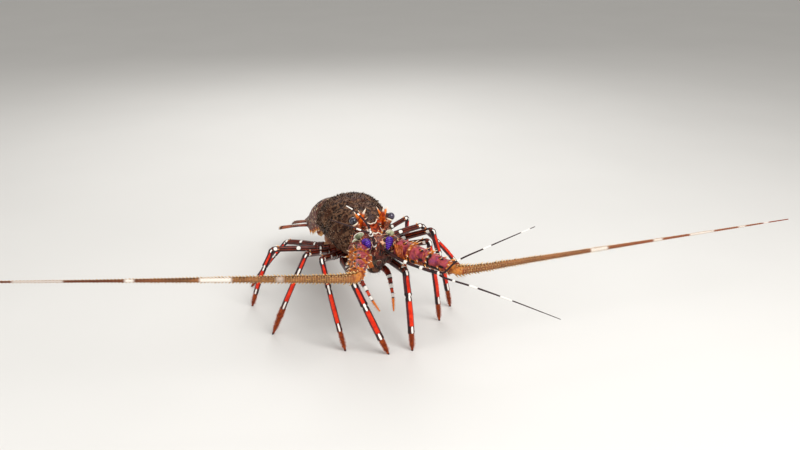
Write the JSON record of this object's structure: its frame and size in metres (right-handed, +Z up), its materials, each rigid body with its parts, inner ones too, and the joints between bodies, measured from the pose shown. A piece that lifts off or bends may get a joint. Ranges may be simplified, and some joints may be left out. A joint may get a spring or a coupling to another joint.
{
  "type": "spiny lobster",
  "caption": "still, life-size spiny lobster standing on its walking legs, horns over the eyes and long antennae spread to both sides",
  "frame": {"origin": "on the floor, below the middle of the whole model's box", "axes": "+X is the animal's left and the spread of its antennae, +Y is towards its tail and +Z is up"},
  "size_m": [0.7052, 0.2768, 0.1308],
  "materials": {
    "shell": "rough spiny shell, dark brown",
    "face": "satin shell, red-brown with pale edges",
    "horn": "satin horn, orange with white tips",
    "stalk": "satin shell, brown",
    "eye": "polished, dark violet grey",
    "antennule": "satin shell, near black with white bands",
    "antenna_stem": "satin shell, magenta with orange edges",
    "antenna_lash": "rough shell, tan brown with pale bands",
    "leg_upper": "satin shell, dark red with white bands",
    "leg_lower": "satin shell, bright red-orange with white bands",
    "underside": "matt shell, pale brown",
    "tail": "satin shell, brown with pale dots",
    "fan": "satin shell, red-brown with pale hem"
  },
  "bodies": {
    "root": {"carapace": "shell", "head": "face", "antennular_plate": "face", "horn_left": "horn", "horn_right": "horn", "eyestalk_left": "stalk", "eyestalk_right": "stalk", "eye_left": "eye", "eye_right": "eye", "antennule_left_stem": "antennule", "antennule_left_upper": "antennule", "antennule_left_lower": "antennule", "antennule_right_stem": "antennule", "antennule_right_upper": "antennule", "antennule_right_lower": "antennule", "antenna_left_joint_1": "antenna_stem", "antenna_left_joint_2": "antenna_stem", "antenna_left_joint_3": "antenna_stem", "antenna_left_lash": "antenna_lash", "antenna_right_joint_1": "antenna_stem", "antenna_right_joint_2": "antenna_stem", "antenna_right_joint_3": "antenna_stem", "antenna_right_lash": "antenna_lash", "mouth": "underside", "maxilliped_left": "leg_upper", "maxilliped_right": "leg_upper", "leg_left_1_upper": "leg_upper", "leg_left_1_lower": "leg_lower", "leg_left_2_upper": "leg_upper", "leg_left_2_lower": "leg_lower", "leg_left_3_upper": "leg_upper", "leg_left_3_lower": "leg_lower", "leg_left_4_upper": "leg_upper", "leg_left_4_lower": "leg_lower", "leg_left_5_upper": "leg_upper", "leg_left_5_lower": "leg_lower", "leg_right_1_upper": "leg_upper", "leg_right_1_lower": "leg_lower", "leg_right_2_upper": "leg_upper", "leg_right_2_lower": "leg_lower", "leg_right_3_upper": "leg_upper", "leg_right_3_lower": "leg_lower", "leg_right_4_upper": "leg_upper", "leg_right_4_lower": "leg_lower", "leg_right_5_upper": "leg_upper", "leg_right_5_lower": "leg_lower", "breast": "underside", "abdomen_1": "tail", "abdomen_2": "tail", "abdomen_3": "tail", "abdomen_4": "tail", "abdomen_5": "tail", "abdomen_6": "tail", "telson": "fan", "uropod_inner_left": "fan", "uropod_inner_right": "fan", "uropod_outer_left": "fan", "uropod_outer_right": "fan"}
  },
  "joints": []
}
